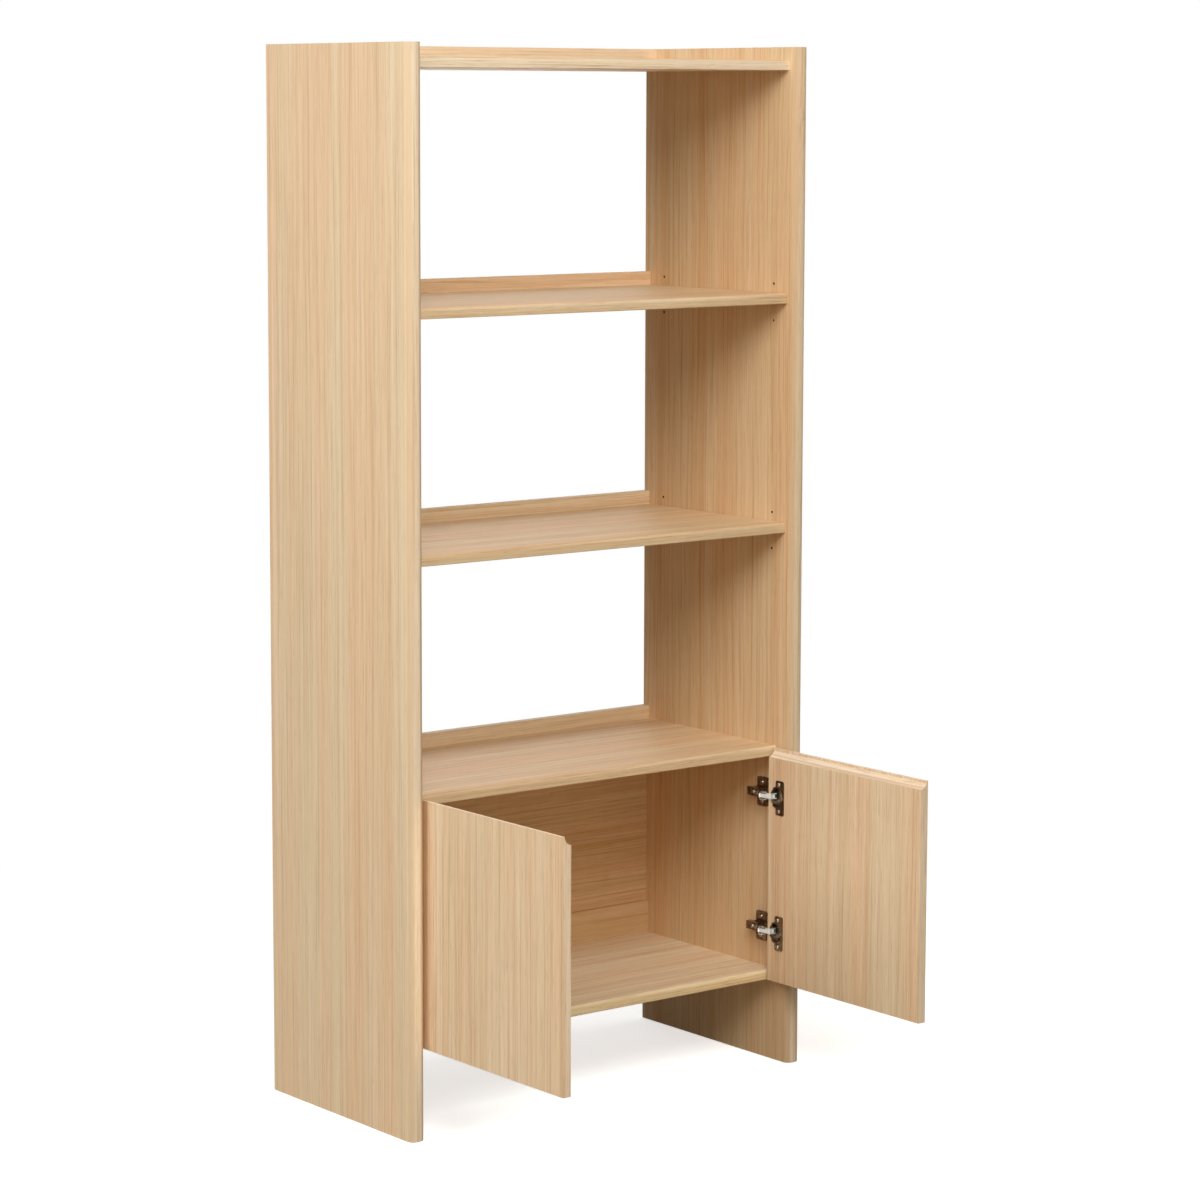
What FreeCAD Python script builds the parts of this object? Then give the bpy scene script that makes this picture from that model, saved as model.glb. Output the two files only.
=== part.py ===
import FreeCAD, Part
import os
import re
import Sketcher

# Bookcase with cabinet doors, in millimetres. +Z is up and the floor is Z = 0; X runs across the
# width; Y runs from the open doors (negative) to the back (positive), with the whole depth centred.
# "Sizes" holds the driving dimensions and "Layout" what follows from them. Left-hand pieces are
# drawn and right-hand ones are their mirror images. The doors stand open, which is the rest pose.

SIZES = [
    ("width", 850, "outside, across both side panels"),
    ("height", 1800, "floor to the tops of the side panels"),
    ("depth", 412, "front to back of a side panel"),
    ("side_thick", 30, "side panel"),
    ("side_round", 12, "rounding of both front edges of a side panel"),
    ("board_thick", 18, "top, shelves and cabinet boards"),
    ("board_round", 6, "upper front edge of a board"),
    ("board_ease", 1.5, "lower front edge of a board"),
    ("shelf_setback", 18, "shelf fronts and closed doors, behind the panel fronts"),
    ("cabinet_bottom_z", 150, "underside of the cabinet bottom"),
    ("lower_shelf_z", 953.5, "underside of the lower shelf"),
    ("upper_shelf_z", 1356, "underside of the upper shelf"),
    ("shelf_end_gap", 1, "each end of an adjustable shelf to its side panel"),
    ("rail_thick", 16, "back rails, front to back"),
    ("rail_height", 24, "rails of the shelves and the cabinet top"),
    ("top_rail_height", 22.5, "rail of the top panel, up to the panel tops"),
    ("strip_height", 60, "rail of the cabinet bottom"),
    ("back_thick", 5, "cabinet back panel"),
    ("back_recess", 6, "back panel behind the front of its rail"),
    ("groove_depth", 6, "groove around the back panel"),
    ("groove_gap", 0.2, "back panel to each wall of its groove"),
    ("door_width", 392, "one door"),
    ("door_height", 418, "one door"),
    ("door_thick", 16, "one door"),
    ("door_side_gap", 2, "closed door to its side panel"),
    ("door_back_gap", 2.5, "closed door to the cabinet board fronts"),
    ("door_drop", 1.5, "door bottom above the underside of the cabinet bottom"),
    ("door_cover", 15.5, "closed door above the underside of the cabinet top"),
    ("door_ease", 1, "outer edges of a door"),
    ("pull_radius", 14, "cove of the finger pull"),
    ("pull_lip", 3.5, "what the cove leaves of the door's top edge"),
    ("pull_below", 0.8, "centre of the cove below the top edge"),
    ("lip_round", 1.2, "inner edge of that lip"),
    ("pin_radius", 2.45, "shelf pins"),
    ("pin_hole", 5, "diameter of the shelf pin holes"),
    ("pin_hole_depth", 11, "shelf pin holes in a side panel"),
    ("pin_reach", 9, "shelf pin beyond the side panel"),
    ("pin_inset", 54, "pin rows from the front and the back of a side panel"),
    ("pin_pitch", 32, "pin holes above one another"),
    ("pin_rise", 1.5, "pin centre above the underside of its shelf"),
    ("pin_slot_gap", 0.1, "shelf pin to its slot, all round"),
    ("dowel_radius", 3.95, "wooden dowels"),
    ("dowel_in_side", 12, "dowel in a side panel"),
    ("dowel_in_board", 22, "dowel in a board"),
    ("dowel_inset", 120, "dowels from the front and the back"),
    ("bolt_inset", 75, "cam bolts from the front and the back"),
    ("bolt_thread", 2.45, "cam bolt in the side panel, radius"),
    ("bolt_shank", 2, "cam bolt in the board, radius"),
    ("bolt_head", 2.9, "cam bolt head, radius"),
    ("bolt_head_long", 3, "cam bolt head"),
    ("cam_radius", 7.4, "cam lock"),
    ("cam_tall", 12.6, "cam lock"),
    ("cam_inset", 34, "cam centre from the end of its board"),
    ("fit_gap", 0.1, "radial clearance of dowels, bolts, cams and screws"),
    ("end_gap", 0.2, "clearance past the end of a dowel, bolt or screw"),
    ("rail_screw_radius", 2, "rail screw shank"),
    ("rail_screw_head", 4, "rail screw head, radius"),
    ("rail_screw_head_tall", 3, "rail screw head"),
    ("rail_screw_bite", 16, "rail screw in its rail"),
    ("rail_screw_span", 340, "outer rail screws from the middle"),
    ("glide_radius", 9, "floor glide"),
    ("glide_tall", 4, "floor glide"),
    ("glide_stand", 1, "floor glide below its side panel"),
    ("glide_inset", 40, "glides from the front and the back"),
    ("glide_nail", 1, "nail of a glide, radius"),
    ("glide_nail_long", 14, "nail of a glide"),
    ("upper_hinge_inset", 85, "upper hinge centres below the top of the door"),
    ("lower_hinge_inset", 89, "lower hinge centres above the bottom of the door"),
    ("door_swing", 90, "degrees from closed to open"),
    ("short_pivot_in", 22.3, "short link's arm pin from the side panel"),
    ("short_pivot_back", 18.5, "short link's arm pin behind the closed door's face"),
    ("short_cup_in", 8.2, "short link's cup pin from the door's hinge edge"),
    ("short_cup_back", 6.9, "short link's cup pin behind the door's face"),
    ("short_swing", 13, "degrees the short link turns as the door opens"),
    ("long_pivot_in", 31, "long link's arm pin from the side panel"),
    ("long_pivot_back", 26.8, "long link's arm pin behind the closed door's face"),
    ("long_link", 26.3, "long link between its pins"),
    ("long_closed", 219.2, "heading of the long link when closed, degrees"),
    ("long_swing", 17.2, "degrees the long link turns as the door opens"),
    ("hinge_pin", 1, "hinge pins, radius"),
    ("pin_fit", 0.03, "hinge pin to the arm or cup that holds it"),
    ("link_fit", 0.06, "hinge pin to the link that turns on it"),
    ("link_eye", 2, "eyes of the links, radius"),
    ("link_strap", 1.1, "half the depth of a link between its eyes"),
    ("short_rise_x", 1.5, "first knee of the short link from its arm pin, along the link"),
    ("short_rise_y", 3.7, "first knee of the short link, to the side"),
    ("short_over_x", 10.1, "second knee of the short link from its arm pin, along the link"),
    ("short_over_y", 8.5, "second knee of the short link, to the side"),
    ("long_over_x", 21.1, "knee of the long link from its arm pin, along the link"),
    ("long_over_y", 6.6, "knee of the long link, to the side"),
    ("long_half", 3.4, "half the width of the long link"),
    ("link_gap", 0.3, "long link to each short link plate"),
    ("short_plate", 1.2, "one plate of the short link"),
    ("cheek_gap", 0.4, "short link plate to the arm's cheek or the cup's ear"),
    ("cheek", 2, "cheek of the arm"),
    ("arm_base", 9, "underside of the arm from the side panel"),
    ("arm_thick", 9, "arm over its plate"),
    ("arm_end", 76, "rear end of the arm behind the closed door's face"),
    ("arm_crank", 47, "where the arm's underside leaves its plate"),
    ("arm_lean", 3, "crank of the arm's top in front of that of its underside"),
    ("nose_wall", 2.8, "arm around the centre of a pin"),
    ("arm_ease", 1.2, "corners of the arm"),
    ("plate_front", 38, "plate behind the closed door's face"),
    ("plate_long", 27, "plate, front to back"),
    ("plate_spine", 8, "half the width of the plate's raised middle"),
    ("plate_wing", 26.5, "half the height of the plate's wings"),
    ("plate_wing_thick", 4, "wings"),
    ("plate_wing_round", 4, "corners of the wings"),
    ("plate_screw_z", 17, "plate screws above and below the hinge centre"),
    ("plate_screw_back", 51.5, "plate screws behind the closed door's face"),
    ("screw_radius", 2, "hinge screw shank"),
    ("screw_head", 3.6, "hinge screw head, radius"),
    ("screw_head_tall", 2, "hinge screw head"),
    ("plate_screw_bite", 12, "plate screw in the side panel"),
    ("clamp_screw_back", 59, "arm clamp screw behind the closed door's face"),
    ("adjust_screw_back", 48.8, "arm adjusting screw behind the closed door's face"),
    ("clamp_screw_bite", 6, "arm screws in the plate"),
    ("cup_radius", 17.4, "outside of the cup"),
    ("cup_centre", 22, "cup centre from the hinge edge of the door"),
    ("cup_deep", 13.2, "cup below the inner face of the door"),
    ("cup_wall", 0.7, "cup wall"),
    ("cup_floor", 0.6, "cup floor"),
    ("flange_thick", 1.2, "cup flange"),
    ("flange_lip", 1.6, "flange around the cup"),
    ("flange_start", 10, "flange's edge from the cup centre towards the hinge edge"),
    ("flange_half", 31, "half the height of the flange"),
    ("flange_near", 8, "flange's wings from their screws towards the hinge edge"),
    ("flange_far", 13.5, "flange's wings from their screws away from the hinge edge"),
    ("flange_round", 4, "corners of the flange's wings"),
    ("cup_screw_in", 28, "cup screws from the hinge edge of the door"),
    ("cup_screw_z", 24, "cup screws above and below the hinge centre"),
    ("cup_screw_bite", 11, "cup screw in the door"),
    ("ear_thick", 1.6, "ear of the cup along its pin"),
    ("ear_wall", 1.8, "ear around the centre of its pin"),
    ("ear_tall", 5.6, "ear above the cup floor"),
]

LAYOUT = [
    ("inner_x", "width / 2 - side_thick"),
    ("top_z", "height - top_rail_height - board_thick"),
    ("cabinet_setback", "shelf_setback + door_thick + door_back_gap"),
    ("rail_front", "depth - rail_thick"),
    ("rail_middle", "depth - rail_thick / 2"),
    ("back_front", "rail_front + back_recess"),
    ("strip_top_z", "cabinet_bottom_z + board_thick + strip_height"),
    ("door_z", "cabinet_bottom_z + door_drop"),
    ("cabinet_top_z", "door_z + door_height - door_cover"),
    ("upper_hinge_z", "door_z + door_height - upper_hinge_inset"),
    ("lower_hinge_z", "door_z + lower_hinge_inset"),
    ("hole_radius", "pin_hole / 2"),
    # linkage in plan: "in" from the side panel, "back" from the closed door's outer face
    ("short_run_in", "door_side_gap + short_cup_in - short_pivot_in"),
    ("short_run_back", "short_cup_back - short_pivot_back"),
    ("short_link", "hypot(short_run_in; short_run_back)"),
    ("short_heading", "atan2(short_run_back; short_run_in) / 1 deg + short_swing"),
    ("long_heading", "long_closed + long_swing"),
    ("cup_pin_in", "short_pivot_in + short_link * cos(short_heading)"),
    ("cup_pin_back", "short_pivot_back + short_link * sin(short_heading)"),
    ("pin_to_face", "door_thick - short_cup_back"),
    ("door_in", "cup_pin_in - short_cup_in * cos(door_swing) + pin_to_face * sin(door_swing)"),
    ("door_back", "cup_pin_back + short_cup_in * sin(door_swing) + pin_to_face * cos(door_swing)"),
    ("door_reach", "door_width * sin(door_swing) - shelf_setback - door_back"),
    ("front_y", "(door_reach - depth) / 2"),
    ("door_face_y", "front_y + shelf_setback"),
    ("door_x", "door_in - inner_x"),
    ("door_y", "door_face_y + door_back"),
    ("plate_inside", "long_half + link_gap"),
    ("plate_outside", "plate_inside + short_plate"),
    ("cheek_inside", "plate_outside + cheek_gap"),
    ("arm_half", "cheek_inside + cheek"),
    ("ear_outside", "cheek_inside + ear_thick"),
    ("bore_deep", "cup_deep + end_gap"),
]

doc = FreeCAD.newDocument("Bookcase")
sizes = doc.addObject("Spreadsheet::Sheet", "Sizes")
for row, (alias, size, note) in enumerate(SIZES, 1):
    sizes.set(f"A{row}", alias)
    sizes.set(f"B{row}", str(size))
    sizes.set(f"C{row}", note)
    sizes.setAlias(f"B{row}", alias)
doc.recompute()

OWNER = {alias: "Sizes" for alias, size, note in SIZES}
OWNER.update({alias: "Layout" for alias, formula in LAYOUT})


def full(formula):
    """Write each name in a formula with the object that holds it."""
    return re.sub(r"[a-z_]+", lambda word: f"{OWNER[word[0]]}.{word[0]}" if word[0] in OWNER
                  else word[0], str(formula))


layout = doc.addObject("App::VarSet", "Layout")
for alias, formula in LAYOUT:
    layout.addProperty("App::PropertyFloat", alias)
    layout.setExpression(alias, full(formula))
doc.recompute()


def value(formula):
    """Work a formula out."""
    return float(layout.evalExpression(full(formula)))


def vector(x, y, z=0):
    return FreeCAD.Vector(value(x), value(y), value(z))


def bind(item, **formulas):
    """Bind properties of an object to formulas; a double underscore stands for a dot."""
    for prop, formula in formulas.items():
        item.setExpression(prop.replace("__", "."), full(formula))


def place(item, x, y, z, turn=None):
    """Bind the place of an object, and its turn about Z where it has one."""
    if turn is not None:
        item.Placement = FreeCAD.Placement(vector(x, y, z), FreeCAD.Rotation(FreeCAD.Vector(0, 0, 1), 1))
        bind(item, Placement__Rotation__Angle=turn)
    bind(item, Placement__Base__x=x, Placement__Base__y=y, Placement__Base__z=z)


# ---- sketches and features of a body ---------------------------------------------------------


def new_body(label, x, y, z, turn=None):
    body = doc.addObject("PartDesign::Body", label)
    body.Label = label
    place(body, x, y, z, turn)
    return body


def new_sketch(body, name, plane, offset=0):
    """Lay a sketch on one of the body's origin planes, moved along its normal."""
    sketch = body.newObject("Sketcher::SketchObject", name)
    sketch.AttachmentSupport = (next(f for f in body.Origin.OriginFeatures if f.Role == plane), [""])
    sketch.MapMode = "FlatFace"
    bind(sketch, AttachmentOffset__Base__z=offset)
    return sketch


def pin_point(sketch, item, end, x, y):
    """Bind a point of the sketch to two formulas."""
    for kind, formula in (("DistanceX", x), ("DistanceY", y)):
        place_of = Sketcher.Constraint(kind, -1, 1, item, end, value(formula))
        number = sketch.addConstraint(place_of)
        name = f"{kind}_{item}_{end}"
        sketch.renameConstraint(number, name)
        sketch.setExpression(f"Constraints.{name}", full(formula))


def draw_outline(sketch, corners):
    """Draw a closed run of straight lines through corners given as formulas."""
    first = sketch.GeometryCount
    points = [vector(x, y) for x, y in corners]
    for start, end in zip(points, points[1:] + points[:1]):
        sketch.addGeometry(Part.LineSegment(start, end), False)
    for number, (x, y) in enumerate(corners):
        following = first + (number + 1) % len(corners)
        sketch.addConstraint(Sketcher.Constraint("Coincident", first + number, 2, following, 1))
        pin_point(sketch, first + number, 1, x, y)


def draw_box(sketch, left, right, low, high):
    draw_outline(sketch, [(left, low), (right, low), (right, high), (left, high)])


def draw_circle(sketch, x, y, radius):
    item = sketch.addGeometry(Part.Circle(vector(x, y), FreeCAD.Vector(0, 0, 1), value(radius)), False)
    pin_point(sketch, item, 3, x, y)
    number = sketch.addConstraint(Sketcher.Constraint("Radius", item, value(radius)))
    sketch.renameConstraint(number, f"Radius_{item}")
    sketch.setExpression(f"Constraints.Radius_{item}", full(radius))


def pad(body, sketch, length, backward=False, symmetric=False):
    feature = body.newObject("PartDesign::Pad", f"{sketch.Name}Pad")
    feature.Profile = sketch
    feature.Reversed = backward
    feature.Midplane = symmetric
    bind(feature, Length=length)
    doc.recompute()
    return feature


def pocket(body, sketch, depth=None, backward=False, symmetric=False):
    """Cut a sketch into the body, right through when no depth is given."""
    feature = body.newObject("PartDesign::Pocket", f"{sketch.Name}Pocket")
    feature.Profile = sketch
    feature.Reversed = backward
    feature.Midplane = symmetric
    if depth is None:
        feature.Type = "ThroughAll"
    else:
        bind(feature, Length=depth)
    doc.recompute()
    return feature


def drill(body, name, plane, radius, centres, depth, offset=0, backward=False):
    """Bore one round hole for each centre."""
    sketch = new_sketch(body, name, plane, offset)
    for x, y in centres:
        draw_circle(sketch, x, y, radius)
    return pocket(body, sketch, depth, backward)


def round_edges(body, name, radius, points):
    """Round each edge of the body that passes through one of the points."""
    tip = body.Tip
    spots = [Part.Vertex(vector(*point)) for point in points]
    edges = [f"Edge{number}" for number, edge in enumerate(tip.Shape.Edges, 1)
             if any(edge.distToShape(spot)[0] < 0.001 for spot in spots)]
    feature = body.newObject("PartDesign::Fillet", name)
    feature.Base = (tip, edges)
    bind(feature, Radius=radius)
    doc.recompute()
    return feature


# ---- primitives, booleans and mirror images --------------------------------------------------

TURNED = {"X": FreeCAD.Rotation(FreeCAD.Vector(0, 1, 0), 90), "Z": FreeCAD.Rotation(),
          "Y": FreeCAD.Rotation(FreeCAD.Vector(1, 0, 0), -90)}


def rod(name, axis, radius, length, x, y, z):
    """Make a cylinder that starts at a point and runs along an axis."""
    cylinder = doc.addObject("Part::Cylinder", name)
    cylinder.Placement.Rotation = TURNED[axis]
    bind(cylinder, Radius=radius, Height=length)
    place(cylinder, x, y, z)
    return cylinder


def block(name, length, width, height, x, y, z, turn=None):
    """Make a box from its sizes and its lowest corner."""
    box = doc.addObject("Part::Box", name)
    bind(box, Length=length, Width=width, Height=height)
    place(box, x, y, z, turn)
    return box


def strap(points, half, thick, z):
    """Make a flat bar through the given points, round at each of them."""
    pieces = [rod("StrapKnee", "Z", half, thick, x, y, z) for x, y in points]
    for (x1, y1), (x2, y2) in zip(points, points[1:]):
        heading = f"(atan2({y2} - {y1}; {x2} - {x1}) / 1 deg)"
        pieces.append(block("StrapBar", f"hypot({x2} - {x1}; {y2} - {y1})", f"2 * {half}", thick,
                            f"{x1} + {half} * sin{heading}", f"{y1} - {half} * cos{heading}", z,
                            heading))
    return pieces


def fuse(label, shapes):
    joined = doc.addObject("Part::MultiFuse", label)
    joined.Shapes = shapes
    joined.Label = label
    return joined


def cut(label, base, tool):
    result = doc.addObject("Part::Cut", label)
    result.Base = base
    result.Tool = tool
    result.Label = label
    return result


def mirror(label, source):
    """Make the right-hand twin of a left-hand piece."""
    twin = doc.addObject("Part::Mirroring", label)
    twin.Source = source
    twin.Normal = FreeCAD.Vector(1, 0, 0)
    twin.Label = label
    return twin


# ---- places that several pieces share --------------------------------------------------------

FIXED_BOARDS = ("top_z", "cabinet_top_z", "cabinet_bottom_z")
SHELVES = {"upper": "upper_shelf_z", "lower": "lower_shelf_z"}
HINGES = {"upper": "upper_hinge_z", "lower": "lower_hinge_z"}
BOARDS = FIXED_BOARDS + tuple(SHELVES.values())
PIN_ROWS = ("pin_inset", "depth - pin_inset")
DOWEL_ROWS = ("dowel_inset", "depth - dowel_inset")
BOLT_ROWS = ("bolt_inset", "depth - bolt_inset")
GLIDE_ROWS = ("glide_inset", "depth - glide_inset")
RAIL_SCREWS = ("-rail_screw_span", "0", "rail_screw_span")
SIDES = (-1, 1)


# ---- carcass ---------------------------------------------------------------------------------


def side_panel(label):
    """Left side panel; its inner face is x = 0 and its front is y = 0."""
    body = new_body(label, "-inner_x", "front_y", 0)
    profile = new_sketch(body, "SideProfile", "XY_Plane", "glide_stand")
    draw_box(profile, "-side_thick", 0, 0, "depth")
    pad(body, profile, "height - glide_stand")
    middle = "height / 2"
    round_edges(body, "SideFrontEdges", "side_round", [(0, 0, middle), ("-side_thick", 0, middle)])
    drill(body, "ShelfPinHoles", "YZ_Plane", "hole_radius",
          [(row, f"{shelf} + pin_rise + {step} * pin_pitch")
           for row in PIN_ROWS for shelf in SHELVES.values() for step in (-1, 0, 1)],
          "pin_hole_depth")
    drill(body, "SideDowelHoles", "YZ_Plane", "dowel_radius + fit_gap",
          [(row, f"{board} + board_thick / 2") for row in DOWEL_ROWS for board in FIXED_BOARDS],
          "dowel_in_side + end_gap")
    drill(body, "SideBoltHoles", "YZ_Plane", "bolt_thread + fit_gap",
          [(row, f"{board} + board_thick / 2") for row in BOLT_ROWS for board in FIXED_BOARDS],
          "dowel_in_side + end_gap")
    drill(body, "PlateScrewHoles", "YZ_Plane", "screw_radius + fit_gap",
          [("shelf_setback + plate_screw_back", f"{hinge} + {side} * plate_screw_z")
           for hinge in HINGES.values() for side in SIDES],
          "plate_screw_bite + end_gap")
    groove = new_sketch(body, "SideGroove", "YZ_Plane")
    draw_box(groove, "back_front - groove_gap", "back_front + back_thick + groove_gap",
             "strip_top_z - groove_depth", "cabinet_top_z + groove_depth")
    pocket(body, groove, "groove_depth")
    glides = [("-side_thick / 2", row) for row in GLIDE_ROWS]
    drill(body, "GlideRecesses", "XY_Plane", "glide_radius + fit_gap", glides,
          "glide_tall - glide_stand", "glide_stand", backward=True)
    drill(body, "GlideNailHoles", "XY_Plane", "glide_nail + fit_gap", glides,
          "glide_tall + glide_nail_long - glide_stand + end_gap", "glide_stand", backward=True)
    return body


def board(label, underside, setback, half, screws_sunk=0):
    """Plain board with eased front edges and the holes of its rail's screws."""
    body = new_body(label, 0, "front_y", underside)
    profile = new_sketch(body, "BoardProfile", "XY_Plane")
    draw_box(profile, f"-({half})", half, setback, "depth")
    pad(body, profile, "board_thick")
    round_edges(body, "BoardUpperEdge", "board_round", [(0, setback, "board_thick")])
    round_edges(body, "BoardLowerEdge", "board_ease", [(0, setback, 0)])
    screws = [(x, "rail_middle") for x in RAIL_SCREWS]
    drill(body, "RailScrewHoles", "XY_Plane", "rail_screw_radius + fit_gap", screws,
          "board_thick", backward=True)
    drill(body, "RailScrewHeads", "XY_Plane", "rail_screw_head + fit_gap", screws,
          f"{screws_sunk} + rail_screw_head_tall + end_gap", backward=True)
    return body


def fixed_board(label, underside, setback, screws_sunk=0):
    """Board that butts the side panels, with its dowels, cam bolts and cam locks let in."""
    body = board(label, underside, setback, "inner_x", screws_sunk)
    for side in SIDES:
        end = f"{side} * inner_x"
        drill(body, "BoardDowelHoles", "YZ_Plane", "dowel_radius + fit_gap",
              [(row, "board_thick / 2") for row in DOWEL_ROWS],
              "dowel_in_board + end_gap", end, backward=side < 0)
        drill(body, "BoardBoltHoles", "YZ_Plane", "bolt_head + fit_gap",
              [(row, "board_thick / 2") for row in BOLT_ROWS],
              "cam_inset", end, backward=side < 0)
    drill(body, "CamHoles", "XY_Plane", "cam_radius + fit_gap",
          [(f"{side} * (inner_x - cam_inset)", row) for side in SIDES for row in BOLT_ROWS],
          "cam_tall", backward=True)
    return body


def cabinet_top_panel():
    """Fixed board over the cabinet, with the upper groove of the back panel."""
    body = fixed_board("cabinet_top_panel", "cabinet_top_z", "cabinet_setback", "groove_depth")
    groove = new_sketch(body, "TopGroove", "XY_Plane")
    draw_box(groove, "-inner_x", "inner_x", "back_front - groove_gap",
             "back_front + back_thick + groove_gap")
    pocket(body, groove, "groove_depth", backward=True)
    return body


def adjustable_shelf(label, underside):
    """Shelf on four pins, which lie in slots in its underside."""
    half = "inner_x - shelf_end_gap"
    body = board(label, underside, "shelf_setback", half)
    slots = new_sketch(body, "PinSlots", "XY_Plane")
    for side in SIDES:
        for row in PIN_ROWS:
            inner = "(inner_x - pin_reach - pin_slot_gap)"
            left, right = (f"-({half})", f"-{inner}") if side < 0 else (inner, half)
            draw_box(slots, left, right, f"{row} - pin_radius - pin_slot_gap",
                     f"{row} + pin_radius + pin_slot_gap")
    pocket(body, slots, "pin_rise + pin_radius + pin_slot_gap", backward=True)
    return body


def back_rail(label, board_z, tall, half):
    """Rail that stands on the back edge of a board."""
    body = new_body(label, 0, "front_y", f"{board_z} + board_thick")
    profile = new_sketch(body, "RailProfile", "XY_Plane")
    draw_box(profile, f"-({half})", half, "rail_front", "depth")
    pad(body, profile, tall)
    drill(body, "RailPilotHoles", "XY_Plane", "rail_screw_radius + fit_gap",
          [(x, "rail_middle") for x in RAIL_SCREWS], "rail_screw_bite + end_gap", backward=True)
    return body


def cabinet_bottom_rail():
    """Tall rail of the cabinet bottom, with the lower groove of the back panel."""
    body = back_rail("cabinet_bottom_rail", "cabinet_bottom_z", "strip_height", "inner_x")
    groove = new_sketch(body, "StripGroove", "XY_Plane", "strip_height")
    draw_box(groove, "-inner_x", "inner_x", "back_front - groove_gap",
             "back_front + back_thick + groove_gap")
    pocket(body, groove, "groove_depth")
    return body


def cabinet_back_panel():
    """Thin panel held in grooves on all four sides."""
    overlap = "(groove_depth - groove_gap)"
    return block("cabinet_back_panel", f"2 * (inner_x + {overlap})", "back_thick",
                 f"cabinet_top_z - strip_top_z + 2 * {overlap}",
                 f"-inner_x - {overlap}", "front_y + back_front", f"strip_top_z - {overlap}")


# ---- fastenings of the carcass ---------------------------------------------------------------


def shelf_pins(label, shelf):
    """Four plain pins under one shelf."""
    pins = []
    for side in SIDES:
        start = "-inner_x - pin_hole_depth + end_gap" if side < 0 else "inner_x - pin_reach"
        for row in PIN_ROWS:
            pins.append(rod("ShelfPin", "X", "pin_radius", "pin_hole_depth - end_gap + pin_reach",
                            start, f"front_y + {row}", f"{shelf} + pin_rise"))
    return fuse(label, pins)


def dowels():
    """Two wooden dowels in each end of each fixed board."""
    pieces = []
    for board_z in FIXED_BOARDS:
        for side in SIDES:
            start = "-inner_x - dowel_in_side" if side < 0 else "inner_x - dowel_in_board"
            for row in DOWEL_ROWS:
                pieces.append(rod("Dowel", "X", "dowel_radius", "dowel_in_side + dowel_in_board",
                                  start, f"front_y + {row}", f"{board_z} + board_thick / 2"))
    return fuse("dowels", pieces)


def cam_bolts():
    """Bolts that screw into the side panels and reach the cam locks."""
    pieces = []
    shank_long = "(cam_inset - bolt_head_long / 2)"
    for board_z in FIXED_BOARDS:
        for side in SIDES:
            for row in BOLT_ROWS:
                y, z = f"front_y + {row}", f"{board_z} + board_thick / 2"
                thread = "-inner_x - dowel_in_side" if side < 0 else "inner_x"
                shank = "-inner_x" if side < 0 else f"inner_x - {shank_long}"
                head = f"{side} * (inner_x - cam_inset) - bolt_head_long / 2"
                pieces += [rod("BoltThread", "X", "bolt_thread", "dowel_in_side", thread, y, z),
                           rod("BoltShank", "X", "bolt_shank", shank_long, shank, y, z),
                           rod("BoltHead", "X", "bolt_head", "bolt_head_long", head, y, z)]
    return fuse("cam_bolts", pieces)


def cam_locks():
    """Cams let into the undersides of the fixed boards, each slotted around its bolt."""
    cams, slots = [], []
    half = "(bolt_head + fit_gap)"
    for board_z in FIXED_BOARDS:
        for side in SIDES:
            centre = f"{side} * (inner_x - cam_inset)"
            for row in BOLT_ROWS:
                cams.append(rod("Cam", "Z", "cam_radius", "cam_tall", centre, f"front_y + {row}", board_z))
                start = f"{centre} - cam_radius" if side < 0 else f"{centre} - bolt_head_long"
                slots.append(block("CamSlot", "cam_radius + bolt_head_long", f"2 * {half}", "cam_tall",
                                   start, f"front_y + {row} - {half}",
                                   f"{board_z} + board_thick / 2 - {half}"))
    return cut("cam_locks", fuse("Cams", cams), fuse("CamSlots", slots))


def rail_screws():
    """Three screws up through each board into its back rail; a groove sinks those it crosses."""
    pieces = []
    for board_z in BOARDS:
        sunk = "(groove_depth + end_gap)" if board_z == "cabinet_top_z" else "end_gap"
        for x in RAIL_SCREWS:
            y, z = "front_y + rail_middle", f"{board_z} + {sunk}"
            pieces += [rod("RailScrewHead", "Z", "rail_screw_head", "rail_screw_head_tall", x, y, z),
                       rod("RailScrewShank", "Z", "rail_screw_radius",
                           f"board_thick - {sunk} + rail_screw_bite", x, y, z)]
    return fuse("rail_screws", pieces)


def floor_glides():
    """Nailed glides under both side panels."""
    pieces = []
    for side in SIDES:
        x = f"{side} * (inner_x + side_thick / 2)"
        for row in GLIDE_ROWS:
            y = f"front_y + {row}"
            pieces += [rod("Glide", "Z", "glide_radius", "glide_tall", x, y, 0),
                       rod("GlideNail", "Z", "glide_nail", "glide_nail_long", x, y, "glide_tall")]
    return fuse("floor_glides", pieces)


# ---- doors -----------------------------------------------------------------------------------

OPEN_DOOR = ("door_x", "door_y")


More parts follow.
